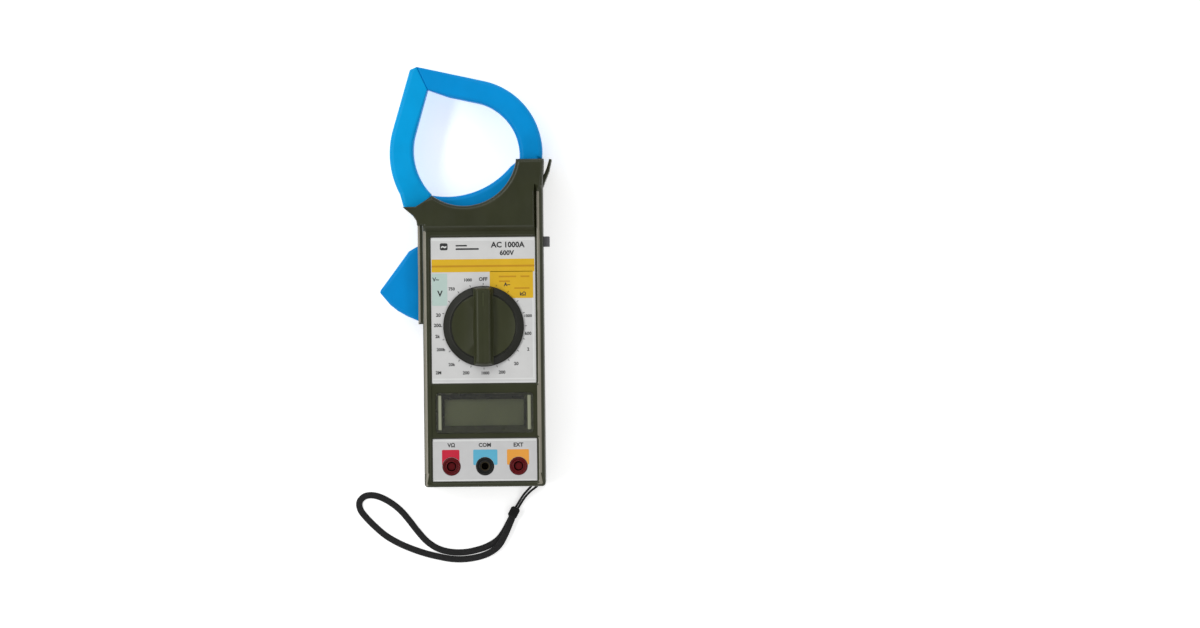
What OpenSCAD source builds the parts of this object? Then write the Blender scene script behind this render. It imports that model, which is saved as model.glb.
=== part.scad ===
// Clamp meter lying on its back. +Z comes out of the front panel, +Y points to the jaws.
// The origin is on the flat back, under the axis of the rotary switch. Millimetres.

/* [Case] */
// Width of the case body
case_w = 66; // [65.6:0.2:66.4]
// Distance from the switch axis down to the bottom end
case_bottom = 87.5; // [87.4:0.1:89]
// Height of the parting line between the two case halves
parting_z = 15; // [14.5:0.5:15.5]
// Thickness of the case walls
wall = 2; // [1.8:0.1:2]
// Height of the floor of the label pockets
panel_z = 28.4; // [28.3:0.1:28.5]
// Height of the side rails and the display frame
rail_z = 30.2; // [30:0.1:30.6]
// Height of the raised head
head_z = 33; // [32.5:0.5:34]

/* [Jaws] */
// Height of the underside of the jaws
jaw_z = 6; // [6:0.1:6.2]
// Thickness of the jaws, front to back
jaw_t = 16; // [15.8:0.1:16]
// Thickness of the trigger lever, front to back
lever_t = 13.5; // [13:0.1:13.5]
// Wall thickness of the jaw shells
jaw_wall = 1.8; // [1.6:0.1:2]
// Radius of the pin that the moving jaw turns on
pivot_r = 2; // [1.8:0.1:2]

/* [Range switch] */
// Radius of the knob's skirt
knob_r = 22; // [21.5:0.1:22.2]
// Height of the top of the grip bar
knob_top = 37; // [36:0.5:38]
// Number of positions of the switch
positions = 20; // [18:1:20]

/* [Sockets and battery] */
// Spacing of the input sockets
socket_pitch = 18.25; // [18:0.05:18.3]
// Distance from the switch axis down to the sockets
socket_y = 76.3; // [76.2:0.1:76.5]
// Radius of the socket's bore
socket_r = 2; // [2:0.05:2.1]
// Length of the battery's body
battery_l = 46; // [45.5:0.5:46]
// Width of the battery
battery_w = 26.5; // [26:0.1:26.5]

/* [Strap] */
// Diameter of the strap's thin cord
cord_d = 1.3; // [1.2:0.1:1.4]
// Width of the strap's webbing
webbing_w = 3.6; // [3.4:0.1:3.6]
// Thickness of the strap's webbing
webbing_t = 1.6; // [1.4:0.1:1.6]

/* [Hidden] */
$fn = 48;

half_w = case_w / 2;
corner_r = 3;
plate_t = 2.2;
plate_z = panel_z - plate_t;
board_z = 21.2;
board_t = 1.6;
board_top = board_z + board_t;
jaw_top = jaw_z + jaw_t;
jaw_gap = 0.3;
pivot = [-28.5, 57];
posts = [[27.2, -76.9], [-27.2, -76.9], [-12, 47], [27, 56]];
door_screw = [0, -38];
saddles = [[2, 58], [25, 73]];
board_posts = [[25, 37], [-25, 37], [25, -29], [-25, -29]];
sockets = [for (i = [-1:1]) [i * socket_pitch, -socket_y]];
pocket_w = 57.2;
label_w = 56.8;
label_t = 0.3;
range_y = [-31, 48.5];
socket_label_y = [-84.4, -61.2];
lcd_y = -47.2;
hub_r = 8.9;
button_y = 45.8;
button_z = 24.5;
battery_y = -56.5;
battery_z = 2.6;
battery_h = 17.5;
bay = [54, 29.6];
terminal_x = 23.6 - battery_l;
strap_post = [27, -84];
strap_post_r = 0.8;
jaw_mid = jaw_z + jaw_t / 2;
lever_top = jaw_z + lever_t;
fixed_screws = [[15, 56.6], [-19.6, 55]];
moving_screws = [[-37.4, 64.3], [-45, 22]];

// Points along an arc about c, from angle a0 to angle a1, in n steps
function arc(c, r, a0, a1, n) =
    [for (i = [0:n]) let (a = a0 + (a1 - a0) * i / n) c + r * [cos(a), sin(a)]];

// Left-hand normal of the edge from p to q, which points into a counter-clockwise outline
function edge_normal(p, q) = [p[1] - q[1], q[0] - p[0]] / norm(q - p);

// Outline moved inward by d
function inset(pts, d) =
    let (n = len(pts))
    [for (i = [0:n - 1])
        let (a = edge_normal(pts[(i + n - 1) % n], pts[i]), b = edge_normal(pts[i], pts[(i + 1) % n]))
        pts[i] + d * (a + b) / (1 + a * b)];

// Case body below the head, and the head with its guard around the jaw opening
body_outline = concat(
    arc([corner_r - half_w, corner_r - case_bottom], corner_r, 180, 270, 4),
    arc([half_w - corner_r, corner_r - case_bottom], corner_r, 270, 360, 4),
    [[half_w, 60], [-half_w, 60]]);
guard_c = [-10, 94.5];
guard_r = 28.8;
head_outline = concat(
    [[-35.6, 55.2], [half_w, 55.2], [half_w, 75], [half_w + 0.6, 91], [18.5, 91]],
    arc(guard_c, guard_r, -10, -127, 20),
    [[-32, 68.2], [-36.5, 65.4], [-43.5, 65.4], [-41, 63.2], [-37.8, 60.6], [-36, 57.8]]);
fin_outline = [[32.6, 74], [34.3, 78.6], [36.6, 84.2], [38, 90.6], [36.7, 91], [35.2, 86], [32.6, 80]];
head_room = concat(
    [[-33.6, 57.2], [half_w - wall, 57.2], [half_w - wall, 75], [half_w - 1.5, 89], [20.4, 89]],
    arc(guard_c, guard_r + wall, -11, -126, 20),
    [[-31.2, 66.2], [-35.9, 63.4], [-37.6, 63.4], [-36.2, 62], [-34.2, 58.6]]);

// Slope from the label's level up to the head, seen from the side
head_slope = [[49.2, panel_z - 2], [49.2, panel_z], [55.2, head_z], [57, head_z], [57, panel_z - 2]];

// Fixed jaw: a hook around the opening, and a foot inside the case that holds the coil
fixed_c = [-7.35, 94.7];
fixed_in_c = [-9.34, 93.1];
sill_c = [-19.25, 116.28];
fixed_outline = concat(
    [[-25.3, 61], [-22.5, 54.5], [-20, 51.5], [8, 51.5], [20, 56], [29.6, 76], [31.1, 91.1], [32.7, 91.1]],
    arc(fixed_c, 40.3, 0, 78.6, 18),
    [[-35.3, 142.1], [-29.4, 129.5], [-18, 125.4]],
    arc(fixed_in_c, 29.8, 72, -4, 16),
    arc(sill_c, 45.3, -40, -100.5, 12));

// Moving jaw, from its tip round the outside to the hub and back up the inside
moving_c = [-3.22, 94.49];
moving_in_c = [-3.6, 96.07];
moving_outline = concat(
    [[-35.7, 142], [-39.1, 140.5]],
    arc(moving_c, 47.4, 163.9, 208, 12),
    [[-43.4, 65.9], [-33, 55.2], [-28.5, 52.4], [-24.2, 55], [-25.8, 61], [-28, 71.9]],
    arc(moving_in_c, 34, 224, 163.9, 12),
    [[-29.8, 129.6]]);
lever_outline = [
    [-30.4, 56], [-30.4, 44], [-36.3, 43.8], [-40.7, 41.3], [-48.7, 30.5], [-56.4, 20.2], [-56.6, 18.8],
    [-54.4, 16], [-51, 12], [-47, 8.8], [-41.8, 5.8], [-36.2, 3.4], [-31, 3], [-27, 30], [-25.2, 51.5],
    [-24.6, 56]];

// Magnetic core of each jaw, as a band between two radii
fixed_core_c = [-8.3, 93.9];
fixed_core_r = [31.6, 36.4];
moving_core_r = [38.2, 43];
core_t = 9;
core_z = jaw_z + (jaw_t - core_t) / 2;

// Routes of the strap and of the wires, as round points along their middles
strap_cord_route = [
    [15.6, -100.5, 1], [18, -96.6, 1.4], [20.4, -93, 2.6], [23, -90, 4.4], [24.8, -88, 5.8],
    [24.8, -86, 6], [24.4, -84, 6], [25.1, -82.2, 6], [27, -81.4, 6], [28.9, -82.2, 6],
    [29.6, -84, 6], [29.2, -86, 6], [28, -88.1, 5.6], [24.4, -90.9, 4.4], [21.5, -93.9, 2.6],
    [19.1, -97.4, 1.4], [16.7, -101.3, 1]];
webbing_z = webbing_t / 2 + 0.1;
// A third number is how far the end that lies on top of the other one is lifted there
webbing_plan = [
    [14.2, -104.4], [11.8, -109], [9.3, -113.4], [6.2, -117.3], [1.8, -120.3], [-4, -122.6], [-12, -124.2],
    [-20, -124], [-27, -122], [-33, -118], [-38, -112.4], [-42.6, -106.4], [-47, -101.2], [-52, -97],
    [-57.6, -93.8], [-62.6, -92.4], [-67, -93], [-69.8, -96], [-69.4, -100.2], [-66.4, -104.4],
    [-61.6, -109.4], [-55.6, -114.6], [-48.6, -118.8], [-41.4, -122], [-34, -124.6], [-27, -126.4],
    [-19.6, -127.8], [-12, -128], [-3.6, -126.6], [2.6, -124, 0.9], [7, -120.2, 1.6], [10, -115, 1.8],
    [12.3, -109.8, 1.8], [14.5, -104.5, 1.8]];
strap_webbing_route = [for (p = webbing_plan) [p[0], p[1], webbing_z + (len(p) > 2 ? p[2] : 0)]];
spring_mean_r = 3.3;
spring_wire = 0.45;

// Solid between two heights over an outline
module slab(pts, z0, z1) {
    translate([0, 0, z0]) linear_extrude(z1 - z0) polygon(pts);
}

// Box from its lowest to its highest corner
module block(low, high) {
    translate(low) cube(high - low);
}

// Upright cylinder at a point of the plan
module post(at, r, z0, z1) {
    translate([at[0], at[1], z0]) cylinder(h = z1 - z0, r = r);
}

// Part of a ring with a rectangular section, from angle a0 to angle a1
module band(c, r, z, a0, a1) {
    translate([c[0], c[1], z[0]]) rotate(a0)
        rotate_extrude(angle = a1 - a0, $fn = 96) translate([r[0], 0]) square([r[1] - r[0], z[1] - z[0]]);
}

// Tube swept along a route, with a section of w by t
module tube(route, w, t, sides = 8) {
    n = len(route);
    ring = [for (k = [0:sides - 1]) [cos(360 * (k + 0.5) / sides) * w, sin(360 * (k + 0.5) / sides) * t] / 2];
    points = [for (i = [0:n - 1])
        let (way = route[min(i + 1, n - 1)] - route[max(i - 1, 0)],
             along = way / norm(way),
             flat = abs(along[2]) > 0.95 ? [1, 0, 0] : [along[1], -along[0], 0],
             side = flat / norm(flat),
             up = cross(side, along))
        for (s = ring) route[i] + side * s[0] + up * s[1]];
    sides_of = [for (i = [0:n - 2], k = [0:sides - 1])
        let (a = i * sides + k, b = i * sides + (k + 1) % sides)
        [a, b, b + sides, a + sides]];
    ends = [[for (k = [sides - 1:-1:0]) k], [for (k = [0:sides - 1]) (n - 1) * sides + k]];
    polyhedron(points, concat(sides_of, ends), convexity = 6);
}

// Room inside the case, from height z0 up to height z1 in the body
module case_room(z0, z1) {
    slab(inset(body_outline, wall), z0, z1);
    slab(head_room, z0, z1 + head_z - panel_z);
}

// Slot that the trigger comes out of, and the open mouth that the jaws leave through
module side_openings() {
    block([-36, 2.3, jaw_z - jaw_gap], [-30, 44.3, jaw_z + lever_t + jaw_gap]);
    block([-60, 52.2, jaw_z - jaw_gap], [-30, 60, jaw_top + jaw_gap]);
    block([-60, 54.4, jaw_z - jaw_gap], [half_w - 1.7, 95, jaw_top + jaw_gap]);
}

// Low flange along the left side, around the trigger slot
module side_flange(z0, z1) {
    block([-35.6, 1.4, z0], [2 - half_w, 57, z1]);
}

// Rear half of the shell, open at the parting line
module rear_shell() {
    difference() {
        union() {
            slab(body_outline, 0, parting_z);
            slab(head_outline, 0, parting_z);
            side_flange(3, parting_z);
            slab(fin_outline, 4, parting_z);
        }
        case_room(plate_t, parting_z + 1);
        side_openings();
    }
}

module rear_case() color("darkolivegreen") {
    difference() {
        union() {
            rear_shell();
            for (p = posts) post(p, 3.5, 1, parting_z);
            battery_bay();
            post(pivot, 4.4, 1, jaw_z - jaw_gap);
            for (p = saddles) post(p, 2.5, 1, jaw_z);
            post(door_screw, 3.2, 1, 9);
        }
        for (p = posts) {
            post(p, 3, -1, 3.2);
            post(p, 1.6, -1, parting_z + 1);
        }
        block([-bay[0] / 2, battery_y - bay[1] / 2, -1], [bay[0] / 2, battery_y + bay[1] / 2, 20]);
        block([-5.2, battery_y, -1], [5.2, -33.6, 1.7]);
        post(door_screw, 1.15, 0, 8.5);
        post(pivot, pivot_r, plate_t, jaw_z);
        post(strap_post, strap_post_r, plate_t - 1, plate_t + 1);
        block([23.8, -90, 4.2], [30.2, -84, 7.8]);
    }
}

// Walls that hold the battery behind the circuit board
module battery_bay() {
    block([-bay[0] / 2 - 1.4, battery_y - bay[1] / 2 - 1.4, 1],
        [bay[0] / 2 + 1.4, battery_y + bay[1] / 2 + 1.4, 14]);
}

module battery_door() color("darkolivegreen") {
    difference() {
        union() {
            block([-26.8, battery_y - 14.6, 0.2], [26.8, battery_y + 14.6, 2.2]);
            block([-5, battery_y, 0.2], [5, -33.8, 1.6]);
        }
        post(door_screw, 1.4, -1, 3);
        post(door_screw, 2.4, -1, 0.9);
    }
}

module battery_door_screw() color("silver") {
    post(door_screw, 2.3, 0.25, 0.9);
    post(door_screw, 1.1, 0.9, 7.5);
}

module case_screws() color("silver") {
    for (p = posts) difference() {
        union() {
            post(p, 2.8, 1.4, 3.2);
            post(p, 1.2, 3.2, 22);
        }
        for (a = [0, 90]) translate([p[0], p[1], 1]) rotate(a) cube([3, 0.6, 1.6], center = true);
    }
}

// Front half of the shell, with its openings
module front_shell() {
    difference() {
        union() {
            slab(body_outline, parting_z, rail_z);
            slab(head_outline, parting_z, head_z);
            translate([-half_w, 0, 0]) rotate([90, 0, 90]) linear_extrude(case_w) polygon(head_slope);
            side_flange(parting_z, 26);
            slab(fin_outline, parting_z, 27);
        }
        case_room(parting_z - 1, plate_z);
        side_openings();
        pocket(range_y);
        pocket(socket_label_y);
        lcd_opening();
    }
}

// Ledge inside the head, under the rail that runs up past the head's right side
module rail_ledge() {
    block([26.8, 55, rail_z - wall], [half_w - 1, 74.5, head_z - wall - 0.2]);
}

module front_case() color("darkolivegreen") {
    difference() {
        union() {
            front_shell();
            rail_ledge();
            for (p = posts) post(p, 3.5, parting_z, plate_z + 1);
            for (p = board_posts) post(p, 2.6, board_top, plate_z + 1);
            post(pivot, 4.4, 26, 30.9);
            for (p = saddles) post(p, 2.5, jaw_top, head_z - 1);
            detent_ring();
        }
        block([pocket_w / 2, 49, rail_z], [half_w + 1, 72.5, head_z + 1]);
        post([0, 0], hub_r + 0.1, plate_z - 4, rail_z);
        for (p = sockets) post(p, 5, plate_z - 1, rail_z);
        for (p = posts) post(p, 1.25, parting_z - 1, 24);
        for (p = board_posts) post(p, 0.8, board_top - 1, 25.8);
        post(pivot, pivot_r, 25, 29.5);
        post(pivot, 4.3, jaw_top, 26);
        block([30, button_y - 3, button_z - 1.75], [36, button_y + 3, button_z + 1.75]);
    }
}

// Shallow pocket that a label is stuck into
module pocket(y) {
    block([-pocket_w / 2, y[0] - 0.2, panel_z], [pocket_w / 2, y[1] + 0.2, head_z + 1]);
}

module lcd_opening() {
    block([-24.5, lcd_y - 8.9, plate_z - 1], [24.5, lcd_y + 8.9, head_z]);
    block([-26.7, lcd_y - 11.1, 28], [26.7, lcd_y + 11.1, head_z]);
}

// Notched ring under the front panel that the switch's balls click round in
module detent_ring() {
    difference() {
        post([0, 0], 19.8, 23.3, plate_z + 1);
        post([0, 0], 17, 22, plate_z);
        for (i = [0:positions - 1]) rotate(360 * i / positions + 90) post([16.3, 0], 1.4, 22, plate_z);
    }
}

module range_label() color("gainsboro") {
    difference() {
        block([-label_w / 2, range_y[0], panel_z], [label_w / 2, range_y[1], panel_z + label_t]);
        post([0, 0], hub_r + 0.4, 20, 40);
    }
}

module socket_label() color("gainsboro") {
    difference() {
        block([-label_w / 2, socket_label_y[0], panel_z],
            [label_w / 2, socket_label_y[1], panel_z + label_t]);
        for (p = sockets) post(p, 5, 20, 40);
    }
}

module lcd_window() color("lightgray", 0.5) {
    block([-26.5, lcd_y - 10.9, 28], [26.5, lcd_y + 10.9, 29.2]);
}

module lcd_glass() color("darkseagreen") {
    block([-25.4, lcd_y - 10.4, 24.3], [25.4, lcd_y + 10.4, plate_z - 0.1]);
}

module lcd_holder() color("dimgray") {
    difference() {
        block([-27.6, lcd_y - 13, board_top], [27.6, lcd_y + 13, plate_z]);
        block([-25.6, lcd_y - 10.6, board_top - 1], [25.6, lcd_y + 10.6, plate_z + 1]);
    }
}

module zebra_strips() color("pink") {
    for (s = [-1, 1]) translate([0, lcd_y + s * 9, (board_top + 24.3) / 2])
        cube([46, 2, 24.3 - board_top], center = true);
}

module main_board() color("green") {
    difference() {
        slab([[-22.5, -83], [22.5, -83], [22.5, -72.5], [28.6, -72.5], [28.6, 41.5], [28.4, 50], [16, 50],
            [16, 41.5], [-28.6, 41.5], [-28.6, -72.5], [-22.5, -72.5]], board_z, board_top);
        for (p = sockets) post(p, 3.05, board_z - 1, board_top + 1);
        for (p = board_posts) post(p, 1, board_z - 1, board_top + 1);
    }
}

module board_screws() color("silver") {
    for (p = board_posts) {
        post(p, 2, board_z - 1.1, board_z);
        post(p, 0.75, board_z, 25.4);
    }
}

module meter_chip() color("black") {
    translate([0, -26.2, board_top]) cylinder(h = 1.6, r1 = 5.5, r2 = 3.6);
}

module resistors() color("tan") {
    for (i = [0:7]) translate([3.4 + 2.6 * i, -24, board_z - 1.1]) rotate([90, 0, 0])
        cylinder(h = 6.4, r = 1, center = true);
}

module capacitors() color("navy") {
    for (i = [0:2]) post([-20 + 9 * i, -14], 2.6, board_z - 9, board_z);
}

module trimmer() color("royalblue") {
    difference() {
        block([9, 28, board_z - 4], [16, 35, board_z]);
        post([12.5, 31.5], 1.6, board_z - 5, board_z - 3);
    }
}

module buzzer() color("gold") {
    difference() {
        post([16, 8], 9, board_z - 5, board_z);
        post([16, 8], 1.2, board_z - 6, board_z - 4);
    }
}

module input_jacks() color("goldenrod") {
    for (p = sockets) difference() {
        union() {
            post(p, 3, 6.5, 27.4);
            post(p, 4.2, board_z - 1, board_z);
        }
        post(p, socket_r, 8, 28);
    }
}

// Plastic ring around one socket's mouth, above the board
module sleeve(p) {
    difference() {
        post(p, 4.9, board_top, 29.2);
        post(p, 3, board_top - 1, 27.4);
        post(p, 2.6, 27, 30);
    }
}

module left_sleeve() color("firebrick") sleeve(sockets[0]);

module middle_sleeve() color("black") sleeve(sockets[1]);

module right_sleeve() color("firebrick") sleeve(sockets[2]);

module hold_button() color("dimgray") {
    block([30, button_y - 2.85, button_z - 1.6], [36.5, button_y + 2.85, button_z + 1.6]);
    block([29.1, button_y - 3.7, button_z - 1.6], [30.4, button_y + 3.7, button_z + 1.6]);
}

module hold_plunger() color("black") {
    translate([25.9, button_y, button_z]) rotate([0, 90, 0]) cylinder(h = 3.2, r = 1.1);
}

module hold_switch() color("silver") {
    difference() {
        block([21.5, button_y - 3, board_top], [27.5, button_y + 3, 26]);
        translate([24, button_y, button_z]) rotate([0, 90, 0]) cylinder(h = 5, r = 1.2);
    }
}

module battery() color("slategray") {
    block([terminal_x + 2.8, battery_y - battery_w / 2, battery_z],
        [26.4, battery_y + battery_w / 2, battery_z + battery_h]);
    for (s = [-1, 1]) translate([terminal_x, battery_y + s * 6.4, battery_z + battery_h / 2])
        rotate([0, 90, 0]) cylinder(h = 2.8, r = 3.4 + s * 0.5);
}

module battery_snap() color("black") {
    block([-25.4, battery_y - 12, 5], [terminal_x, battery_y + 12, 18]);
}

module battery_wires() color("red") {
    for (s = [-1, 1]) tube([[-24.6, battery_y + s * 4, 18], [-24.6, battery_y + s * 4, 18.8],
        [-24.2, battery_y + s * 5 + 4, 19.6], [-23.8, battery_y + s * 6 + 8, 19.8],
        [-23.4, battery_y + s * 6 + 10, 20.4], [-23.4, battery_y + s * 6 + 10, board_z]], 1.2, 1.2);
}

// One half of the fixed jaw's shell, between the heights z0 and z1
module fixed_half(z0, z1, room0, room1) {
    difference() {
        slab(fixed_outline, z0, z1);
        slab(inset(fixed_outline, jaw_wall), room0, room1);
        post(pivot, 5.4, z0 - 1, z1 + 1);
        block([4, 50, 17], [9, 55, 20]);
    }
}

module fixed_jaw_front() color("deepskyblue") {
    difference() {
        union() {
            fixed_half(jaw_mid, jaw_top, jaw_mid - 1, jaw_top - jaw_wall);
            for (p = fixed_screws) post(p, 2, jaw_mid, jaw_top - 1);
        }
        for (p = fixed_screws) post(p, 0.85, jaw_mid - 1, jaw_top - 2);
    }
}

module fixed_jaw_rear() color("deepskyblue") {
    difference() {
        union() {
            fixed_half(jaw_z, jaw_mid, jaw_z + jaw_wall, jaw_mid + 1);
            for (p = fixed_screws) post(p, 2, jaw_z + 1, jaw_mid);
        }
        for (p = fixed_screws) {
            post(p, 1, jaw_z - 1, jaw_mid + 1);
            post(p, 1.7, jaw_z - 1, jaw_z + 1.2);
        }
    }
}

module fixed_jaw_screws() color("silver") {
    for (p = fixed_screws) jaw_screw(p);
}

// Countersunk screw that holds the two halves of a jaw together
module jaw_screw(p) {
    post(p, 1.6, jaw_z + 0.2, jaw_z + 1.2);
    post(p, 0.8, jaw_z + 1.2, jaw_top - 3);
}

// Laminated core of the fixed jaw: an arc, and a straight bar out to the tip
module fixed_jaw_core() color("slategray") {
    band(fixed_core_c, fixed_core_r, [core_z, core_z + core_t], -114, 79);
    way = [cos(78), sin(78)];
    slab([fixed_core_c + fixed_core_r[0] * way, fixed_core_c + fixed_core_r[1] * way,
        [-30.8, 137.4], [-28.6, 132.8]], core_z, core_z + core_t);
}

module coil_bobbin() color("ivory") {
    z = [core_z - 0.9, core_z + core_t + 0.9];
    difference() {
        union() {
            band(fixed_core_c, [30.6, 37.4], z, -104, -64);
            for (a = [-104, -65]) band(fixed_core_c, [28.8, 39.2], [z[0] - 0.7, z[1] + 0.7], a, a + 1);
        }
        band(fixed_core_c, [31.5, 36.5], [core_z - 0.1, core_z + core_t + 0.1], -110, -60);
    }
}

module coil_winding() color("peru") {
    z = [core_z - 0.9, core_z + core_t + 0.9];
    difference() {
        band(fixed_core_c, [29.4, 38.6], [z[0] - 0.6, z[1] + 0.6], -102.9, -65.1);
        band(fixed_core_c, [30.6, 37.4], z, -110, -60);
    }
}

module coil_leads() color("red") {
    for (s = [0, 1]) tube([[5.4 + 1.8 * s, 54.6, 18.5], [5.4 + 1.8 * s, 51, 18.5], [6 + 2 * s, 47, 18.6],
        [7 + 2 * s, 43, 19.4], [7.4 + 2 * s, 41, 20.2], [7.4 + 2 * s, 41, board_z]], 1.1, 1.1);
}

// One half of the moving jaw's shell, with its share of the lever and the trigger
module moving_half(z0, z1, room0, room1, lever0, lever1) {
    difference() {
        union() {
            difference() {
                union() {
                    slab(moving_outline, z0, z1);
                    slab(lever_outline, z0, lever1 + jaw_wall * (z0 > jaw_z ? 1 : 0));
                }
                slab(inset(moving_outline, jaw_wall), room0, room1);
                slab(inset(lever_outline, jaw_wall), lever0, lever1);
            }
            post(pivot, 4.8, z0, z1);
            for (p = moving_screws)
                post(p, 2, min(z0 + 1, jaw_mid), p == moving_screws[0] ? max(z1 - 1, jaw_mid) : lever1);
        }
        post(pivot, 3.2, z0 - 1, z1 + 1);
        block([-60, 30, lever_top], [-20, 51, jaw_top + 1]);
    }
}

module moving_jaw_front() color("deepskyblue") {
    difference() {
        moving_half(jaw_mid, jaw_top, jaw_mid - 1, jaw_top - jaw_wall, jaw_mid - 1, lever_top - jaw_wall);
        for (p = moving_screws) post(p, 0.85, jaw_mid - 1, lever_top - 1.9);
    }
}

module moving_jaw_rear() color("deepskyblue") {
    difference() {
        moving_half(jaw_z, jaw_mid, jaw_z + jaw_wall, jaw_mid + 1, jaw_z + jaw_wall, jaw_mid);
        for (p = moving_screws) {
            post(p, 1, jaw_z - 1, jaw_mid + 1);
            post(p, 1.7, jaw_z - 1, jaw_z + 1.2);
        }
    }
}

module moving_jaw_core() color("slategray") {
    band(moving_c, moving_core_r, [core_z, core_z + core_t], 163.9, 226);
    way = [cos(165), sin(165)];
    slab([moving_c + moving_core_r[0] * way, [-33.7, 131.8], [-35.9, 136.3], [-37.8, 136.3],
        moving_c + moving_core_r[1] * way], core_z, core_z + core_t);
}

module moving_jaw_screws() color("silver") {
    for (p = moving_screws) {
        post(p, 1.6, jaw_z + 0.2, jaw_z + 1.2);
        post(p, 0.8, jaw_z + 1.2, 16);
    }
}

module pivot_bush() color("goldenrod") {
    difference() {
        post(pivot, 3.2, jaw_z, jaw_top);
        post(pivot, pivot_r + 0.05, jaw_z - 1, jaw_top + 1);
    }
}

module pivot_pin() color("silver") {
    post(pivot, pivot_r, plate_t, 29.5);
}

// Torsion spring round the pivot pin: one leg on the lever, one against the case
module jaw_spring() color("silver") {
    turns = 2.75;
    steps = 16;
    z0 = jaw_top + 0.6;
    coil = [for (i = [0:turns * steps]) let (a = 360 * i / steps)
        [pivot[0] + spring_mean_r * cos(a), pivot[1] + spring_mean_r * sin(a), z0 + i / steps]];
    leg_x = pivot[0] + spring_mean_r;
    lever_leg = [[leg_x, 45.6, lever_top + 0.5], [leg_x, 46.4, z0 - 0.6], [leg_x, 48, z0]];
    case_leg = [[pivot[0] + 4, pivot[1] - spring_mean_r, z0 + turns], [-19, 53.4, z0 + turns]];
    tube(concat(lever_leg, coil, case_leg), 2 * spring_wire, 2 * spring_wire, 6);
}

module range_knob() color("darkolivegreen") {
    rotate_extrude($fn = 96)
        polygon([[0, 28.9], [knob_r, 28.9], [knob_r, 29.7], [19.2, 31.9], [18.6, 32.2], [0, 32.2]]);
    post([0, 0], hub_r, 26.05, 29);
    for (s = [-1, 1]) post([5 * s, 0], 1.5, 23.3, 26.5);
    intersection() {
        translate([0, knob_r, 0]) rotate([90, 0, 0]) linear_extrude(2 * knob_r)
            polygon([[-6, 32], [6, 32], [4.2, knob_top], [-4.2, knob_top]]);
        translate([0, 0, 30]) cylinder(h = knob_top - 30, r1 = knob_r - 0.3, r2 = knob_r - 2, $fn = 96);
    }
}

module switch_rotor() color("ivory") {
    difference() {
        post([0, 0], 16.4, 23.3, 26);
        for (s = [-1, 1]) {
            post([5 * s, 0], 1.55, 22, 27);
            translate([0, s * 9, 24.65]) rotate([-90 * s, 0, 0]) cylinder(h = 9, r = 1.25);
        }
    }
}

module contact_brushes() color("goldenrod") {
    for (i = [0:2]) band([0, 0], [6.5 + 2.6 * i, 8.1 + 2.6 * i], [board_top + 0.05, 23.3],
        -30 + 120 * i, 30 + 120 * i);
}

module detent_balls() color("silver") {
    for (s = [-1, 1]) translate([0, s * 15.7, 24.65]) sphere(r = 1.2);
}

// Close-wound compression spring behind each ball
module detent_springs() color("silver") {
    turns = 10;
    pitch = 0.52;
    profile = concat(
        [for (i = [0:2 * turns]) [1.05 - 0.2 * (i % 2), i * pitch / 2]],
        [[0.6, turns * pitch], [0.6, 0]]);
    for (turn = [0, 180]) rotate(turn) translate([0, 9.2, 24.65]) rotate([-90, 0, 0])
        rotate_extrude() polygon(profile);
}

module strap_pin() color("silver") {
    post(strap_post, strap_post_r, plate_t - 1, parting_z);
}

module strap_cord() color("black") {
    tube(strap_cord_route, cord_d, cord_d);
}

module strap_ferrule() color("dimgray") {
    difference() {
        translate([15, -102.6, 2]) rotate([0, 0, -28]) cube([5.2, 6, 4], center = true);
        strap_cord();
        strap_webbing();
    }
}

module strap_webbing() color("black") {
    tube(strap_webbing_route, webbing_w, webbing_t);
}

rear_case();
front_case();
battery_door();
battery_door_screw();
case_screws();
range_label();
socket_label();
lcd_window();
lcd_glass();
lcd_holder();
zebra_strips();
main_board();
board_screws();
meter_chip();
resistors();
capacitors();
trimmer();
buzzer();
input_jacks();
left_sleeve();
middle_sleeve();
right_sleeve();
hold_button();
hold_plunger();
hold_switch();
battery();
battery_snap();
battery_wires();
fixed_jaw_front();
fixed_jaw_rear();
fixed_jaw_core();
fixed_jaw_screws();
coil_bobbin();
coil_winding();
coil_leads();
moving_jaw_front();
moving_jaw_rear();
moving_jaw_core();
moving_jaw_screws();
pivot_bush();
pivot_pin();
jaw_spring();
range_knob();
switch_rotor();
contact_brushes();
detent_balls();
detent_springs();
strap_pin();
strap_cord();
strap_ferrule();
strap_webbing();
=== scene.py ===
"""Looks of the clamp meter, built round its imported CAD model.

Sizes and places are millimetres until a mesh is made, which is in metres.
"""

import math

import bmesh
import bpy
from mathutils import Matrix, Vector


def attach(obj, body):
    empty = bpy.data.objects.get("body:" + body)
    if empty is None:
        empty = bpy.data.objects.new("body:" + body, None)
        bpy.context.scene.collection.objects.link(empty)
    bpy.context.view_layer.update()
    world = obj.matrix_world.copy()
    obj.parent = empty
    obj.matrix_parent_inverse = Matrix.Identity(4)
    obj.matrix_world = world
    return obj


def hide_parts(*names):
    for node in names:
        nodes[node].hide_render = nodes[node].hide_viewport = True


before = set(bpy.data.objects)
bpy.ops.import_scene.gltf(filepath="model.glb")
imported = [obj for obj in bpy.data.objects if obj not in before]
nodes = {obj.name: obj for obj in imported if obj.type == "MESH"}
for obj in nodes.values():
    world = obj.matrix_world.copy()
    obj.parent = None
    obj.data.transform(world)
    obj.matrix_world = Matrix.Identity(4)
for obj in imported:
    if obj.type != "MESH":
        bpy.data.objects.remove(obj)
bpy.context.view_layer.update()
MM = 0.001

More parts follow.
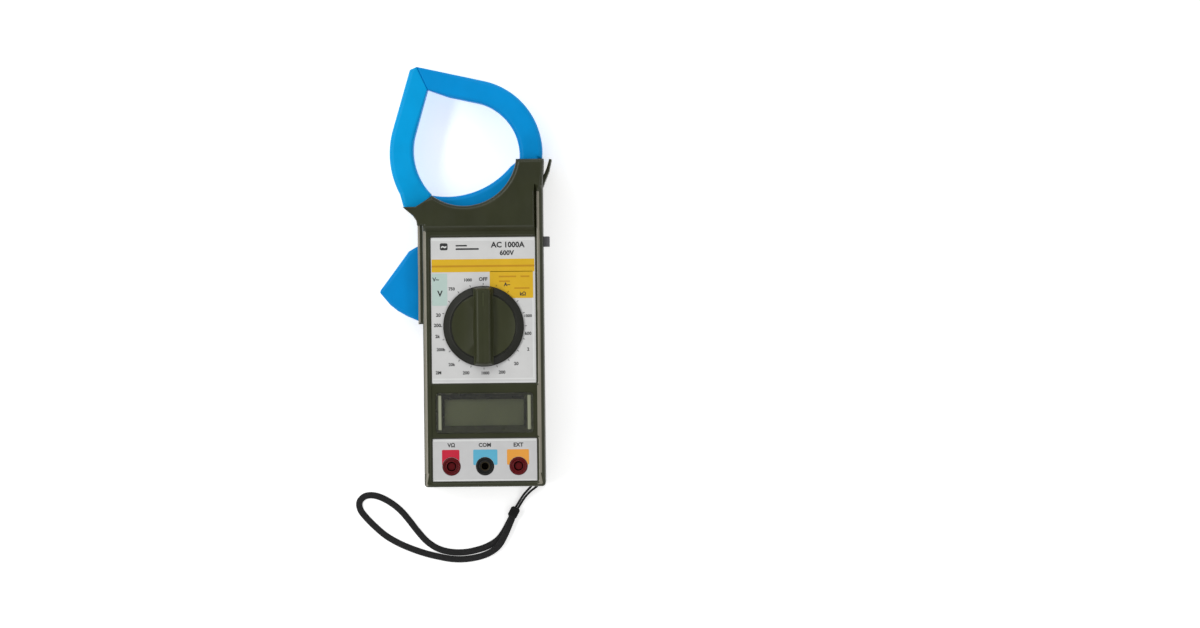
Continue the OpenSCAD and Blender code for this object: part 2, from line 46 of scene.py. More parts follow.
# ---------------------------------------------------------------- sizes shared with the CAD model
HALF_W = 33.0
BOTTOM = -87.5
PARTING_Z = 15.0
WALL = 2.0
PANEL_Z = 28.4
PLATE_Z = 26.2
PLATE_T = 2.2
RAIL_Z = 30.2
RAIL_R = 2.6
HEAD_Z = 33.0
JAW_Z = 6.0
JAW_TOP = 22.0
JAW_MID = 14.0
JAW_WALL = 1.8
JAW_GAP = 0.3
LEVER_TOP = 19.5
PIVOT = (-28.5, 57.0)
KNOB_R = 22.0
KNOB_TOP = 37.0
HUB_R = 8.9
LCD_Y = -47.2
LABEL_TOP = 28.7
SOCKETS = [(x, -76.3) for x in (-18.25, 0.0, 18.25)]
CASE_POSTS = [(27.2, -76.9), (-27.2, -76.9), (-12.0, 47.0), (27.0, 56.0)]
BOARD_POSTS = [(25.0, 37.0), (-25.0, 37.0), (25.0, -29.0), (-25.0, -29.0)]
SADDLES = [(2.0, 58.0), (25.0, 73.0)]
DOOR_SCREW = (0.0, -38.0)
BATTERY_Y = -56.5
BAY = (54.0, 29.6)
BUTTON_Y = 45.8
BUTTON_Z = 24.5
FIXED_JAW_SCREWS = [(15, 56.6), (-19.6, 55)]
MOVING_JAW_SCREWS = [(-37.4, 64.3), (-45, 22)]


def arc(c, r, a0, a1, n):
    """n + 1 points of a circle about c, from angle a0 to angle a1 in degrees."""
    turns = [math.radians(a0 + (a1 - a0) * i / n) for i in range(n + 1)]
    return [(c[0] + r * math.cos(a), c[1] + r * math.sin(a)) for a in turns]


CORNER_R = 1.9
GUARD_C, GUARD_R = (-10.0, 94.5), 28.8
SILL_C, SILL_R = (-19.25, 116.28), 45.3
BODY = (
    arc((CORNER_R - HALF_W, BOTTOM + CORNER_R), CORNER_R, 180, 270, 8)
    + arc((HALF_W - CORNER_R, BOTTOM + CORNER_R), CORNER_R, 270, 360, 8)
    + [(HALF_W, -80), (HALF_W, 60), (-HALF_W, 60), (-HALF_W, -80)]
)
HEAD = (
    [(-35.6, 55.2), (HALF_W, 55.2), (HALF_W, 75), (HALF_W + 0.6, 91), (18.5, 91)]
    + arc(GUARD_C, GUARD_R, -10, -127, 40)
    + [(-32, 68.2), (-36.5, 65.4), (-43.5, 65.4), (-41, 63.2), (-37.8, 60.6), (-36, 57.8)]
)
HEAD_ROOM = (
    [(-33.6, 57.2), (HALF_W - WALL, 57.2), (HALF_W - WALL, 75), (HALF_W - 1.5, 89), (20.4, 89)]
    + arc(GUARD_C, GUARD_R + WALL, -11, -126, 24)
    + [(-31.2, 66.2), (-35.9, 63.4), (-37.6, 63.4), (-36.2, 62), (-34.2, 58.6)]
)
FIN = [(32.6, 74), (34.3, 78.6), (36.6, 84.2), (38, 90.6), (36.7, 91), (35.2, 86), (32.6, 80)]
FIXED_JAW = (
    [(-25.3, 61), (-22.5, 54.5), (-20, 51.5), (8, 51.5), (20, 56), (29.6, 76), (31.1, 91.1), (32.7, 91.1)]
    + arc((-7.35, 94.7), 40.3, 0, 78.6, 30)
    + [(-35.3, 142.1), (-29.4, 129.5), (-18, 125.4)]
    + arc((-9.34, 93.1), 29.8, 72, -4, 28)
    + arc(SILL_C, SILL_R, -40, -100.5, 22)
)
MOVING_JAW = (
    [(-35.36, 142.06), (-39.1, 140.5)]
    + arc((-3.22, 94.49), 47.4, 163.9, 208, 20)
    + [(-43.4, 65.9), (-33, 55.2), (-28.5, 52.4), (-24.2, 55), (-25.8, 61), (-28, 71.9)]
    + arc((-3.6, 96.07), 34, 224, 163.9, 24)
    + [(-29.46, 129.6)]
)
LEVER = [
    (-30.4, 56), (-30.4, 44), (-36.3, 43.8), (-40.7, 41.3), (-48.7, 30.5), (-56.4, 20.2), (-56.6, 18.8),
    (-54.4, 16), (-51, 12), (-47, 8.8), (-41.8, 5.8), (-36.2, 3.4), (-31, 3), (-27, 30), (-25.2, 51.5),
    (-24.6, 56),
]
CORD_D = 1.3
CORD_ROUTE = [
    (15.6, -100.5, 1), (18, -96.6, 1.4), (20.4, -93, 2.6), (23, -90, 4.4), (24.8, -88, 5.8),
    (24.8, -86, 6), (24.4, -84, 6), (25.1, -82.2, 6), (27, -81.4, 6), (28.9, -82.2, 6),
    (29.6, -84, 6), (29.2, -86, 6), (28, -88.1, 5.6), (24.4, -90.9, 4.4), (21.5, -93.9, 2.6),
    (19.1, -97.4, 1.4), (16.7, -101.3, 1),
]
WEBBING_W, WEBBING_T, WEBBING_Z = 3.6, 1.6, 0.9
WEBBING_ROUTE = [(x, y, WEBBING_Z) for x, y in (
    (14.2, -104.4), (11.8, -109), (9.3, -113.4), (6.2, -117.3), (1.8, -120.3), (-4, -122.6), (-12, -124.2),
    (-20, -124), (-27, -122), (-33, -118), (-38, -112.4), (-42.6, -106.4), (-47, -101.2), (-52, -97),
    (-57.6, -93.8), (-62.6, -92.4), (-67, -93), (-69.8, -96), (-69.4, -100.2), (-66.4, -104.4),
    (-61.6, -109.4), (-55.6, -114.6), (-48.6, -118.8), (-41.4, -122), (-34, -124.6), (-27, -126.4),
    (-19.6, -127.8), (-12, -128), (-3.6, -126.6))]
# The end that lies on top of the other one
WEBBING_ROUTE += [(x, y, WEBBING_Z + lift) for x, y, lift in (
    (2.6, -124, 0.9), (7, -120.2, 1.6), (10, -115, 1.8), (12.3, -109.8, 1.8), (14.5, -104.5, 1.8))]


# ---------------------------------------------------------------- mesh tools
def mesh_object(name, points, faces):
    """Object of a mesh whose points are millimetres, with its normals outward."""
    mesh = bpy.data.meshes.new(name)
    mesh.from_pydata([tuple(c * MM for c in p) for p in points], [], faces)
    obj = bpy.data.objects.new(name, mesh)
    bpy.context.scene.collection.objects.link(obj)
    shape = bmesh.new()
    shape.from_mesh(mesh)
    bmesh.ops.recalc_face_normals(shape, faces=shape.faces)
    shape.to_mesh(mesh)
    shape.free()
    return obj


def loft(name, rings, closed=False):
    """Solid through rings that have as many points each. Its ends are capped, or joined if it is closed."""
    n, m = len(rings[0]), len(rings)
    points = [p for ring in rings for p in ring]
    spans = range(m if closed else m - 1)
    faces = [
        (i * n + k, i * n + (k + 1) % n, (i + 1) % m * n + (k + 1) % n, (i + 1) % m * n + k)
        for i in spans
        for k in range(n)
    ]
    if not closed:
        faces += [tuple(range(n)), tuple(range((m - 1) * n, m * n))]
    return mesh_object(name, points, faces)


def inset(points, distances):
    """A counter-clockwise outline moved inward, each point by its own distance."""
    n, moved = len(points), []
    for i in range(n):
        a, b, c = (Vector(points[(i + k) % n]) for k in (-1, 0, 1))
        u, v = (b - a).normalized(), (c - b).normalized()
        left_u, left_v = Vector((-u.y, u.x)), Vector((-v.y, v.x))
        p = b + distances[i] * (left_u + left_v) / (1 + left_u.dot(left_v))
        moved.append((p.x, p.y))
    return moved


def slab(name, outline, z0, z1, low=0.0, high=0.0, steps=5):
    """Slab over an outline. low and high round its lower and upper edge, by one radius or one a point."""
    n = len(outline)
    lows = low if isinstance(low, list) else [low] * n
    highs = high if isinstance(high, list) else [high] * n
    rings = []
    quarter = [math.radians(90 * i / steps) for i in range(steps + 1)]
    for t in quarter if any(lows) else quarter[-1:]:
        flat = inset(outline, [r * (1 - math.sin(t)) for r in lows])
        rings.append([(x, y, z0 + r * (1 - math.cos(t))) for (x, y), r in zip(flat, lows)])
    for t in reversed(quarter if any(highs) else quarter[-1:]):
        flat = inset(outline, [r * (1 - math.sin(t)) for r in highs])
        rings.append([(x, y, z1 - r * (1 - math.cos(t))) for (x, y), r in zip(flat, highs)])
    return loft(name, rings)


def block(low, high, name="block"):
    """Box from its lowest to its highest corner, to cut with or to build on."""
    (x0, y0, z0), (x1, y1, z1) = low, high
    return slab(name, [(x0, y0), (x1, y0), (x1, y1), (x0, y1)], z0, z1)


def lathe(name, profile, at=(0, 0), n=64):
    """Solid turned about an upright axis. The profile is (radius, height) pairs, and its ends are flat."""
    return loft(name, [[(*p, z) for p in arc(at, r, 0, 360 - 360 / n, n - 1)] for r, z in profile])


def drum(at, r, z0, z1, n=32):
    return lathe("drum", [(r, z0), (r, z1)], at, n)


def rounded_box_outline(x0, y0, x1, y1, r, n=5):
    """Outline of a rectangle with round corners."""
    corners = [(x0 + r, y0 + r), (x1 - r, y0 + r), (x1 - r, y1 - r), (x0 + r, y1 - r)]
    return [p for c, a in zip(corners, (180, 270, 0, 90)) for p in arc(c, r, a, a + 90, n)]


def bake(obj):
    """Replaces the mesh by what its modifiers make of it."""
    bpy.context.view_layer.update()
    made = bpy.data.meshes.new_from_object(obj.evaluated_get(bpy.context.evaluated_depsgraph_get()))
    obj.modifiers.clear()
    obj.data = made


def combine(obj, operation, tools):
    """Joins solids to a solid, or takes them from it, and uses them up."""
    for tool in tools:
        step = obj.modifiers.new(operation, "BOOLEAN")
        step.operation = operation
        step.solver = "EXACT"
        step.object = tool
    bake(obj)
    for tool in tools:
        bpy.data.objects.remove(tool)
    return obj


def add(obj, *tools):
    return combine(obj, "UNION", tools)


def cut(obj, *tools):
    return combine(obj, "DIFFERENCE", tools)


def keep(obj, *tools):
    return combine(obj, "INTERSECT", tools)


def soften(obj, width=0.25, angle=32.0, segments=2):
    """Rounds the sharp edges a little, and shades flat faces flat and round ones smooth."""
    if width:
        bevel = obj.modifiers.new("bevel", "BEVEL")
        bevel.width = width * MM
        bevel.segments = segments
        bevel.limit_method = "ANGLE"
        bevel.angle_limit = math.radians(angle)
        bake(obj)
    for face in obj.data.polygons:
        face.use_smooth = True
    obj.data.set_sharp_from_angle(angle=math.radians(50))
    weighted = obj.modifiers.new("normals", "WEIGHTED_NORMAL")
    weighted.keep_sharp = True
    bake(obj)
    return obj


def turned(obj, origin, axis, degrees):
    """Turns the mesh itself about a line through origin, in millimetres."""
    centre = Vector(origin) * MM
    turn = Matrix.Rotation(math.radians(degrees), 4, Vector(axis))
    obj.data.transform(Matrix.Translation(centre) @ turn @ Matrix.Translation(-centre))
    return obj


def joined(name, objs):
    """One object of several meshes, in order."""
    shape = bmesh.new()
    for o in objs:
        shape.from_mesh(o.data)
    mesh = bpy.data.meshes.new(name)
    shape.to_mesh(mesh)
    shape.free()
    for o in objs:
        bpy.data.objects.remove(o)
    obj = bpy.data.objects.new(name, mesh)
    bpy.context.scene.collection.objects.link(obj)
    return obj


def place(obj, body, material, slot, *stands_for):
    """Gives a piece its body, its material and the CAD nodes that it stands for."""
    obj.data.materials.clear()
    obj.data.materials.append(material)
    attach(obj, body)
    if stands_for:
        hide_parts(*stands_for)
    return obj


# ---------------------------------------------------------------- materials
def srgb(r, g, b):
    """Linear colour of an 8-bit one."""
    def one(c):
        c /= 255
        return c / 12.92 if c <= 0.04045 else ((c + 0.055) / 1.055) ** 2.4
    return (one(r), one(g), one(b), 1.0)


class Finish:
    """A material under construction: its shader, and short ways to add nodes."""

    def __init__(self, name, **values):
        self.material = bpy.data.materials.new(name)
        self.material.use_nodes = True
        self.tree = self.material.node_tree
        self.shader = self.tree.nodes["Principled BSDF"]
        for socket, value in values.items():
            self.shader.inputs[socket.replace("_", " ")].default_value = value
        self.where = self.node("ShaderNodeTexCoord").outputs["Object"]

    def node(self, kind, **values):
        made = self.tree.nodes.new(kind)
        for key, value in values.items():
            socket = key.replace("_", " ")
            if socket in made.inputs:
                made.inputs[socket].default_value = value
            else:
                setattr(made, key, value)
        return made

    def link(self, source, target):
        self.tree.links.new(source, target)

    def noise(self, scale, detail=3.0, rough=0.5, stretch=None):
        """Noise over the piece, with scale in features a metre. stretch makes it longer along an axis."""
        made = self.node("ShaderNodeTexNoise", Scale=scale, Detail=detail, Roughness=rough)
        where = self.where
        if stretch:
            mapping = self.node("ShaderNodeMapping")
            mapping.inputs["Scale"].default_value = stretch
            self.link(where, mapping.inputs["Vector"])
            where = mapping.outputs["Vector"]
        self.link(where, made.inputs["Vector"])
        return made.outputs["Fac"]

    def spread(self, value, low, high, start=0.3, end=0.7):
        """A value from noise, mapped from start..end to low..high."""
        made = self.node("ShaderNodeMapRange")
        for key, number in (("From Min", start), ("From Max", end), ("To Min", low), ("To Max", high)):
            made.inputs[key].default_value = number
        self.link(value, made.inputs["Value"])
        return made.outputs["Result"]

    def mix(self, share, a, b):
        """Colour between a and b, which are colours or sockets."""
        made = self.node("ShaderNodeMix", data_type="RGBA")
        self.link(share, made.inputs["Factor"])
        for socket, value in ((made.inputs[6], a), (made.inputs[7], b)):
            if isinstance(value, tuple):
                socket.default_value = value
            else:
                self.link(value, socket)
        return made.outputs[2]

    def colour(self, source):
        self.link(source, self.shader.inputs["Base Color"])

    def roughness(self, source):
        self.link(source, self.shader.inputs["Roughness"])

    def bump(self, height, depth, strength=1.0, under=None):
        """Bump whose full height is depth millimetres, over another bump if one is given."""
        made = self.node("ShaderNodeBump", Strength=strength, Distance=depth * MM)
        self.link(height, made.inputs["Height"])
        if under:
            self.link(under, made.inputs["Normal"])
        self.link(made.outputs["Normal"], self.shader.inputs["Normal"])
        return made.outputs["Normal"]


def shaded(colour, factor):
    """A lighter or darker tone of a colour."""
    return (*(min(1.0, c * factor) for c in colour[:3]), 1.0)


def plastic(name, colour, rough=0.4, grain=0.03, mottle=0.1, **values):
    """Moulded plastic: a fine spark-eroded grain, slow changes of tone, and faint rub marks."""
    made = Finish(name, **values)
    tone = made.spread(made.noise(70, 4), 0, 1)
    made.colour(made.mix(tone, shaded(colour, 1 - mottle), shaded(colour, 1 + mottle)))
    rub = made.noise(180, 5, 0.6, (1, 0.35, 1))
    made.roughness(made.spread(rub, rough - 0.06, rough + 0.08))
    made.bump(made.noise(2600, 2), grain, 0.5)
    return made.material


def metal(name, colour, rough=0.3, brushed=(1, 1, 1), depth=0.01):
    """Metal with a turned or brushed grain and a slow change of gloss."""
    made = Finish(name, Metallic=1.0)
    grain = made.noise(1800, 3, 0.6, brushed)
    made.colour(made.mix(made.spread(made.noise(120, 3), 0, 1), shaded(colour, 0.86), shaded(colour, 1.05)))
    made.roughness(made.spread(grain, rough - 0.08, rough + 0.12))
    made.bump(grain, depth, 0.4)
    return made.material


def printed(name, colour, rough=0.45):
    """Screen-printed ink or a label's face, with a faint orange peel."""
    made = Finish(name)
    made.colour(made.mix(made.spread(made.noise(160, 4), 0, 1), shaded(colour, 0.965), shaded(colour, 1.02)))
    made.roughness(made.spread(made.noise(420, 3), rough - 0.05, rough + 0.08))
    made.bump(made.noise(1500, 2), 0.008, 0.35)
    return made.material


def braid(name, colour, pitch):
    """Braided yarn: crossing diagonal ribs over a fibrous ground."""
    made = Finish(name)
    tone = made.spread(made.noise(900, 4), 0, 1)
    made.colour(made.mix(tone, shaded(colour, 0.7), shaded(colour, 1.3)))
    made.roughness(made.spread(made.noise(1500, 3), 0.75, 0.95))
    ribs = made.node("ShaderNodeTexWave", Scale=pitch, Distortion=1.2, Detail=2.0)
    ribs.bands_direction = "DIAGONAL"
    made.link(made.where, ribs.inputs["Vector"])
    under = made.bump(ribs.outputs["Fac"], 0.12, 0.6)
    made.bump(made.noise(5200, 3), 0.05, 0.6, under)
    made.shader.inputs["Sheen Weight"].default_value = 0.06
    return made.material


def circuit(name, colour):
    """Circuit board: solder mask over copper tracks."""
    made = Finish(name)
    tracks = made.node("ShaderNodeTexBrick", Scale=260.0, Mortar_Size=0.05)
    made.link(made.where, tracks.inputs["Vector"])
    share = made.spread(tracks.outputs["Fac"], 0, 1, 0, 1)
    made.colour(made.mix(share, shaded(colour, 0.9), shaded(colour, 1.7)))
    made.roughness(made.spread(made.noise(600, 3), 0.28, 0.42))
    made.bump(tracks.outputs["Fac"], 0.03, 0.5)
    return made.material


def clear(name, tint, rough=0.06):
    """Clear moulded acrylic, with faint surface waviness."""
    made = Finish(name, Transmission_Weight=1.0, IOR=1.49, Base_Color=tint)
    made.roughness(made.spread(made.noise(300, 3), rough - 0.03, rough + 0.04))
    made.bump(made.noise(90, 2), 0.02, 0.15)
    return made.material


def display(name, colour):
    """Liquid crystal glass: a matt polariser with a fine vertical tone."""
    made = Finish(name)
    tone = made.spread(made.noise(60, 2, 0.5, (1, 0.1, 1)), 0, 1)
    made.colour(made.mix(tone, shaded(colour, 0.94), shaded(colour, 1.08)))
    made.roughness(made.spread(made.noise(700, 2), 0.3, 0.38))
    made.bump(made.noise(3000, 1), 0.004, 0.3)
    return made.material


M = {
    "case": plastic("case_olive", srgb(45, 48, 25), 0.36, 0.03, 0.09, Specular_IOR_Level=0.42),
    # Pale tone painted along the rails' crowns and the flange's edge: a painted highlight of the left lamp.
    "painted_light_zones": plastic("case_painted_highlight", srgb(136, 132, 118), 0.3, 0.02, 0.06, Specular_IOR_Level=0.4),
    "knob": plastic("knob_olive", srgb(51, 54, 30), 0.4, 0.03, 0.08, Specular_IOR_Level=0.35),
    "pointer": plastic("knob_pointer", srgb(66, 70, 44), 0.4, 0.03, 0.08, Specular_IOR_Level=0.35),
    # Darker, greyer copy of the knob's olive for its sloping outer flank: painted shade.
    "skirt": plastic("knob_skirt_painted_shade", srgb(32, 33, 26), 0.42, 0.03, 0.08, Specular_IOR_Level=0.3),
    "jaw": plastic("jaw_blue", srgb(0, 145, 217), 0.4, 0.02, 0.05, Specular_IOR_Level=0.1),
    # Lighter copy of the same blue for the moving jaw: painted light from the left lamp.
    "jaw_painted_light": plastic("jaw_blue_painted_light", srgb(0, 161, 226), 0.4, 0.02, 0.05, Specular_IOR_Level=0.1),
    # Copy of the same blue, a touch darker, for the trigger: painted shade.
    "trigger": plastic("trigger_blue_painted_shade", srgb(0, 141, 215), 0.4, 0.02, 0.05, Specular_IOR_Level=0.1),
    "black": plastic("black_plastic", srgb(17, 18, 17), 0.42, 0.03, 0.12, Specular_IOR_Level=0.3),
    "grey": plastic("grey_plastic", srgb(88, 88, 90), 0.5, 0.03, 0.08),
    "red": plastic("red_plastic", srgb(92, 2, 10), 0.36, 0.02, 0.08, Specular_IOR_Level=0.25),
    "white": plastic("white_plastic", srgb(214, 210, 196), 0.45, 0.02, 0.04),
    "pink": plastic("pink_rubber", srgb(214, 140, 140), 0.7, 0.02, 0.05),
    "epoxy": plastic("epoxy", srgb(18, 18, 18), 0.25, 0.02, 0.1),
    "resistor": plastic("resistor_body", srgb(196, 170, 120), 0.5, 0.02, 0.08),
    "capacitor": plastic("capacitor_sleeve", srgb(26, 36, 80), 0.35, 0.01, 0.08),
    "trimmer": plastic("trimmer_blue", srgb(34, 84, 170), 0.4, 0.01, 0.06),
    "battery": plastic("battery_jacket", srgb(74, 78, 84), 0.35, 0.01, 0.06),
    "wire": plastic("wire_red", srgb(170, 20, 22), 0.5, 0.02, 0.08),
    "label": printed("label_print", srgb(213, 213, 212)),
    "socket_label": printed("socket_print", srgb(204, 204, 204)),
    "ink": printed("ink_dark", srgb(40, 41, 42), 0.5),
    "ink_pale": printed("ink_pale", srgb(226, 227, 226)),
    "yellow": printed("ink_yellow", srgb(222, 178, 20)),
    "yellow_dark": printed("ink_amber", srgb(196, 142, 0)),
    "green": printed("ink_green", srgb(187, 208, 201)),
    "crimson": printed("ink_crimson", srgb(200, 20, 54)),
    "cyan": printed("ink_cyan", srgb(92, 178, 208)),
    "orange": printed("ink_orange", srgb(234, 160, 60)),
    "mask": printed("display_mask", srgb(60, 63, 40), 0.3),
    # Dark olive printed under the lens as a painted shadow of the window's upper edge and sides.
    "shade": printed("display_painted_shadow", srgb(26, 28, 12), 0.3),
    # Pale colour for the lens's sloping ends: a painted highlight of the side lamps.
    "lens_end_highlight": plastic("lens_edge_painted_highlight", srgb(150, 153, 128), 0.5, 0.02, 0.03),
    "lcd": display("lcd", srgb(112, 116, 88)),
    "lens": clear("lens", (0.93, 0.94, 0.9, 1.0)),
    "steel": metal("steel", (0.62, 0.62, 0.6), 0.32),
    "spring": metal("spring_steel", (0.55, 0.56, 0.58), 0.3),
    "core": metal("core_steel", (0.32, 0.33, 0.35), 0.42, (1, 1, 14), 0.05),
    "brass": metal("brass", (0.72, 0.5, 0.2), 0.28),
    # Near-black brass for the jacks: painted shade deep in the socket holes.
    "jack": metal("jack_brass_painted_shade", (0.1, 0.08, 0.05), 0.5),
    "copper": metal("copper", (0.72, 0.32, 0.16), 0.35, (1, 1, 22), 0.08),
    "board": circuit("board", srgb(18, 74, 40)),
    "braid": braid("strap_weave", srgb(17, 17, 18), 520.0),
}


# ---------------------------------------------------------------- camera and lights
VIEW_CENTRE = (63.5, 6.0)
VIEW_WIDTH = 654.0
VIEW_HEIGHT = 3000.0
VIEW_LEAN = -0.6
SENSOR = 36.0
FLOOR = 4000.0

camera = bpy.data.objects.new("camera", bpy.data.cameras.new("camera"))
bpy.context.scene.collection.objects.link(camera)
camera.data.sensor_width = SENSOR
camera.data.lens = SENSOR * (VIEW_HEIGHT - PANEL_Z) / VIEW_WIDTH
camera.location = (VIEW_CENTRE[0] * MM, VIEW_CENTRE[1] * MM, VIEW_HEIGHT * MM)
camera.rotation_euler = (0, 0, math.radians(VIEW_LEAN))
bpy.context.scene.camera = camera
bpy.context.scene.view_settings.view_transform = "Standard"

floor_corners = [(-FLOOR, -FLOOR, 0), (FLOOR, -FLOOR, 0), (FLOOR, FLOOR, 0), (-FLOOR, FLOOR, 0)]
floor = mesh_object("floor", floor_corners, [(0, 1, 2, 3)])
floor_finish = Finish("floor", Roughness=0.9, Emission_Color=(1, 1, 1, 1), Emission_Strength=0.5)
floor_finish.colour(floor_finish.mix(floor_finish.noise(8), (0.9, 0.9, 0.9, 1), (0.93, 0.93, 0.93, 1)))
floor.data.materials.append(floor_finish.material)


def softbox(name, azimuth, tilt, distance, size, power):
    """Area light that looks at the meter from an azimuth, tilt degrees away from straight above."""
    data = bpy.data.lights.new(name, "AREA")
    data.shape = "RECTANGLE"
    data.size, data.size_y = size
    data.energy = power
    lamp = bpy.data.objects.new(name, data)
    bpy.context.scene.collection.objects.link(lamp)
    a, t = math.radians(azimuth), math.radians(tilt)
    away = Vector((math.cos(a) * math.sin(t), math.sin(a) * math.sin(t), math.cos(t)))
    lamp.location = away * distance
    lamp.rotation_euler = away.to_track_quat("Z", "Y").to_euler()


softbox("left_key", 168, 40, 1.7, (1.9, 0.26), 13)
softbox("right_strip", 0, 44, 1.7, (1.9, 0.3), 4.5)
softbox("front_fill", -90, 54, 1.9, (1.8, 0.8), 6)
softbox("back_fill", 96, 50, 1.9, (1.8, 0.8), 8)
world = bpy.data.worlds.new("studio")
world.use_nodes = True
world.node_tree.nodes["Background"].inputs["Color"].default_value = (1, 1, 1, 1)
world.node_tree.nodes["Background"].inputs["Strength"].default_value = 0.32
bpy.context.scene.world = world


# ---------------------------------------------------------------- strap
def smooth_route(points, step):
    """Points step millimetres apart along a smooth curve through the given ones."""
    fine = []
    n = len(points)
    for i in range(n - 1):
        p = [Vector(points[min(max(i + k, 0), n - 1)]) for k in (-1, 0, 1, 2)]
        for j in range(16):
            t = j / 16
            fine.append(0.5 * (2 * p[1] + t * (p[2] - p[0]) + t * t * (2 * p[0] - 5 * p[1] + 4 * p[2] - p[3])
                               + t ** 3 * (3 * p[1] - p[0] - 3 * p[2] + p[3])))
    fine.append(Vector(points[-1]))
    total = sum((b - a).length for a, b in zip(fine, fine[1:]))
    count = max(2, round(total / step))
    out, walked, i = [fine[0]], 0.0, 0
    for k in range(1, count):
        target = total * k / count
        while walked + (fine[i + 1] - fine[i]).length < target:
            walked += (fine[i + 1] - fine[i]).length
            i += 1
        out.append(fine[i].lerp(fine[i + 1], (target - walked) / (fine[i + 1] - fine[i]).length))
    return out + [fine[-1]]


def woven_tube(name, route, width, thickness, sides, swell):
    """Tube along a route whose skin swells by swell(step, side) millimetres."""
    rings = []
    n = len(route)
    for i, p in enumerate(route):
        way = (route[min(i + 1, n - 1)] - route[max(i - 1, 0)]).normalized()
        side = Vector((way.y, -way.x, 0)).normalized()
        up = side.cross(way)
        ring = []
        for k in range(sides):
            a = 2 * math.pi * (k + 0.5) / sides
            grow = 1 + swell(i, k) / (thickness / 2)
            q = p + side * (math.cos(a) * width / 2 * grow) + up * (math.sin(a) * thickness / 2 * grow)
            ring.append(tuple(q))
        rings.append(ring)
    tube = loft(name, rings)
    for face in tube.data.polygons:
        face.use_smooth = len(face.vertices) == 4
    return tube


CORD_STEP = 0.3
cord_line = smooth_route(CORD_ROUTE, CORD_STEP)
strap_cord = woven_tube(
    "strap_cord_braid", cord_line, CORD_D, CORD_D, 12,
    lambda i, k: -0.07 * (((i + 2 * k) // 2 + (i - 2 * k) // 2) % 2))
place(strap_cord, "meter", M["braid"], "strap_weave", "strap_cord")

WEB_STEP = 0.6
web_line = smooth_route(WEBBING_ROUTE, WEB_STEP)
strap_webbing = woven_tube(
    "strap_webbing_weave", web_line, WEBBING_W, WEBBING_T, 20,
    lambda i, k: -0.09 * (((i + k) // 2 + (i - k) // 2) % 2))
place(strap_webbing, "meter", M["braid"], "strap_weave", "strap_webbing")


def ferrule():
    """Moulded sleeve that joins the thin cord to the webbing."""
    outline = [(-2.6, -2.1), (-1.8, -3), (1.8, -3), (2.6, -2.1), (2.6, 2.1), (1.8, 3), (-1.8, 3), (-2.6, 2.1)]
    body = slab("strap_ferrule_body", outline, 0.02, 4, 0.5, 0.7, 4)
    for y in (-1.1, 0.0, 1.1):
        cut(body, block((-3, y - 0.18, 3.75), (3, y + 0.18, 4.4)))
    soften(body, 0.12)
    body.data.transform(Matrix.Translation(Vector((15, -102.6, 0)) * MM)
                        @ Matrix.Rotation(math.radians(-28), 4, "Z"))
    return body


strap_ferrule = place(ferrule(), "meter", M["black"], "black_plastic", "strap_ferrule")

# ---------------------------------------------------------------- case
def head_rounding(big):
    """Rounding radius for each point of the head's outline, less round its thin left horn."""
    radii = []
    for x, y in HEAD:
        if x < -31 and y > 57:
            radii.append(min(big, 0.7))
        elif y < 56:
            radii.append(min(big, 1.2) if x < -33 else big)
        else:
            radii.append(big)
    return radii


def body_rounding(outline, big):
    """Rounding radius for each point of the body's outline: less round its tight bottom corners."""
    return [min(big, CORNER_R - 0.3) if y < -80.5 else big for x, y in outline]


def case_room(z0, z1):
    """Solids of the room inside the case, to cut with."""
    return [slab("room", rounded_box_outline(WALL - HALF_W, BOTTOM + WALL, HALF_W - WALL, 60, 1.0), z0, z1),
            slab("room", HEAD_ROOM, z0, z1 + HEAD_Z - PANEL_Z)]


def side_openings():
    """Solids of the trigger's slot and of the jaws' mouth."""
    return [block((-36, 2.3, JAW_Z - JAW_GAP), (-30, 44.3, LEVER_TOP + JAW_GAP)),
            block((-60, 52.2, JAW_Z - JAW_GAP), (-30, 60, JAW_TOP + JAW_GAP)),
            block((-60, 54.4, JAW_Z - JAW_GAP), (HALF_W - 1.7, 95, JAW_TOP + JAW_GAP))]


def window_outline(half_w, half_h, r):
    """Round-cornered outline about the display's centre."""
    return rounded_box_outline(-half_w, LCD_Y - half_h, half_w, LCD_Y + half_h, r)


def pocket(floor_z, y0, y1, edge):
    """Solid to cut a panel pocket whose rim is rounded over by edge millimetres."""
    outline = rounded_box_outline(-28.6, y0, 28.6, y1, 1.2)
    rings = []
    for i in range(7):
        a = math.radians(15 * i)
        flat = inset(outline, [edge * (math.cos(a) - 1)] * len(outline))
        rings.append([(x, y, floor_z + edge * math.sin(a)) for x, y in flat])
    rings.append([(x, y, HEAD_Z + 1) for x, y, _ in rings[-1]])
    return loft("pocket", rings)


def flange(z0, z1, low, high):
    """Ledge along the left side, which the trigger's slot is cut through."""
    return slab("flange", [(-35.6, 1.4), (-30.9, 1.4), (-30.9, 57), (-35.6, 57)], z0, z1, low, high)


def head_slope():
    """Ramp from the panel up to the head, as wide as the case, with the case's own rounded edges."""
    rings = []
    edge = 2.4
    for i in range(13):
        t = i / 12
        y = 49.0 + 6.4 * t
        top = PANEL_Z + (HEAD_Z - PANEL_Z) * t * t * (3 - 2 * t)
        corner = arc((HALF_W - edge, top - edge), edge, 0, 90, 6)
        upper = corner + [(-x, z) for x, z in reversed(corner)]
        rings.append([(x, y, z) for x, z in [(HALF_W, 20)] + upper + [(-HALF_W, 20)]])
    rings.append([(x, 58.0, z) for x, _, z in rings[-1]])
    return loft("slope", rings)


